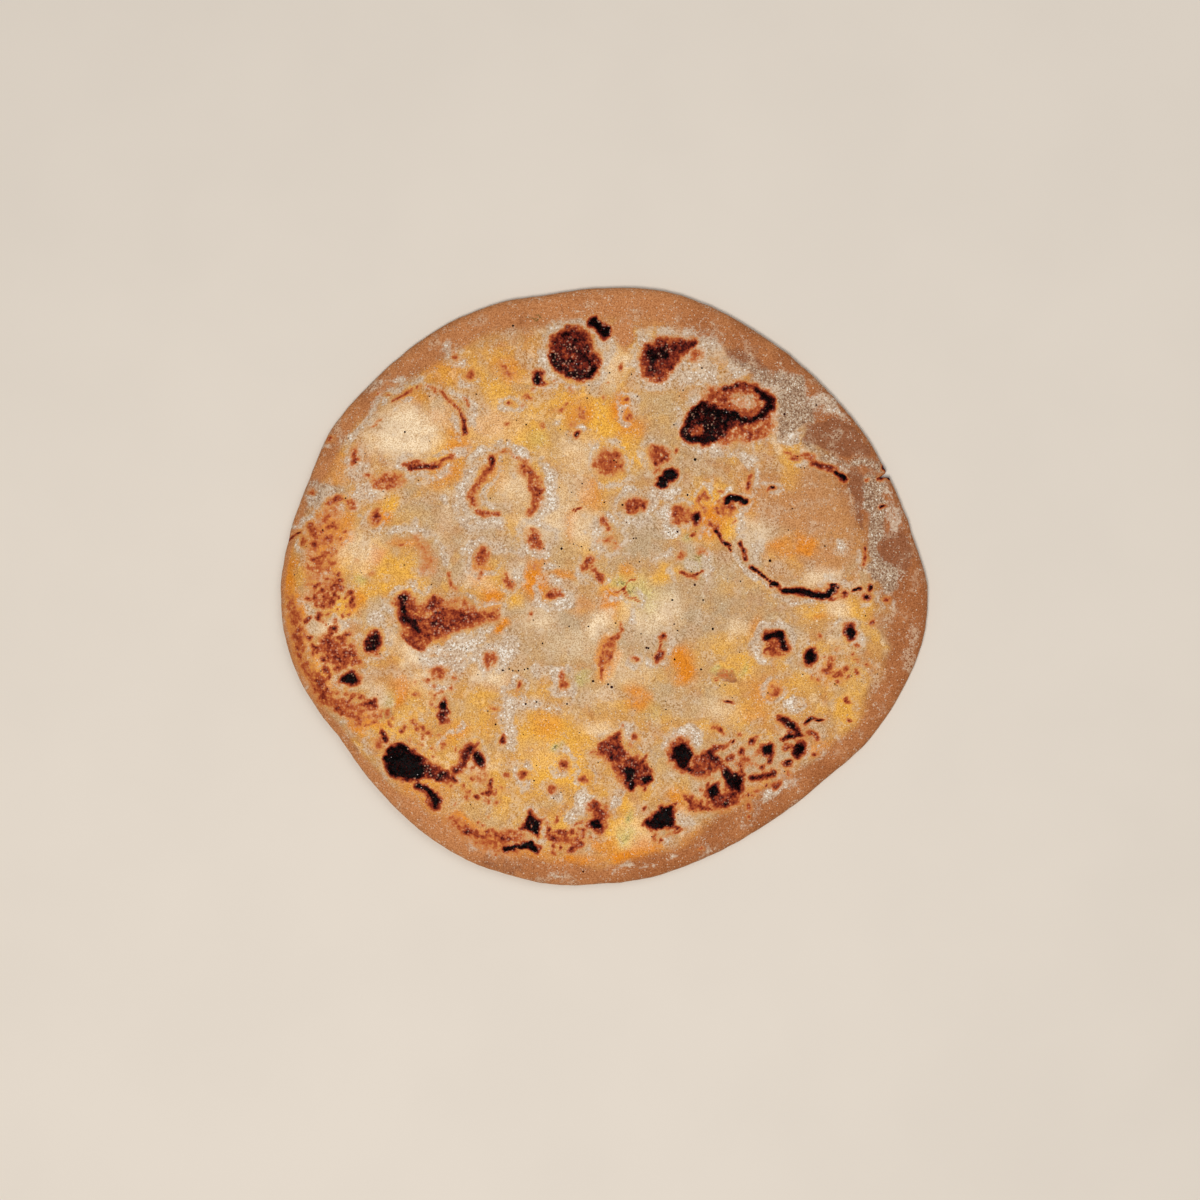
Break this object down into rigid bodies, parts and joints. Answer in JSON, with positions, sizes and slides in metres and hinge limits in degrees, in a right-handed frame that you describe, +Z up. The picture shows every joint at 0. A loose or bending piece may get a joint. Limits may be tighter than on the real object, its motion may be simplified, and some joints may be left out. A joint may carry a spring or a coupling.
{
  "type": "stuffed paratha",
  "caption": "Round hand-rolled flatbread with a filling sealed inside, griddled with dark scorches, blisters and a dusting of dry flour.",
  "frame": {"origin": "in the flat underside, under the middle of the bread", "axes": "+Z up through the bread, +X to the side with the widest border of plain dough, where the edge has its small tear"},
  "size_m": [0.1622, 0.1499, 0.008],
  "materials": {
    "dough": "satin",
    "flour": "matte",
    "char": "satin"
  },
  "bodies": {
    "root": {"paratha": "dough"}
  },
  "joints": []
}
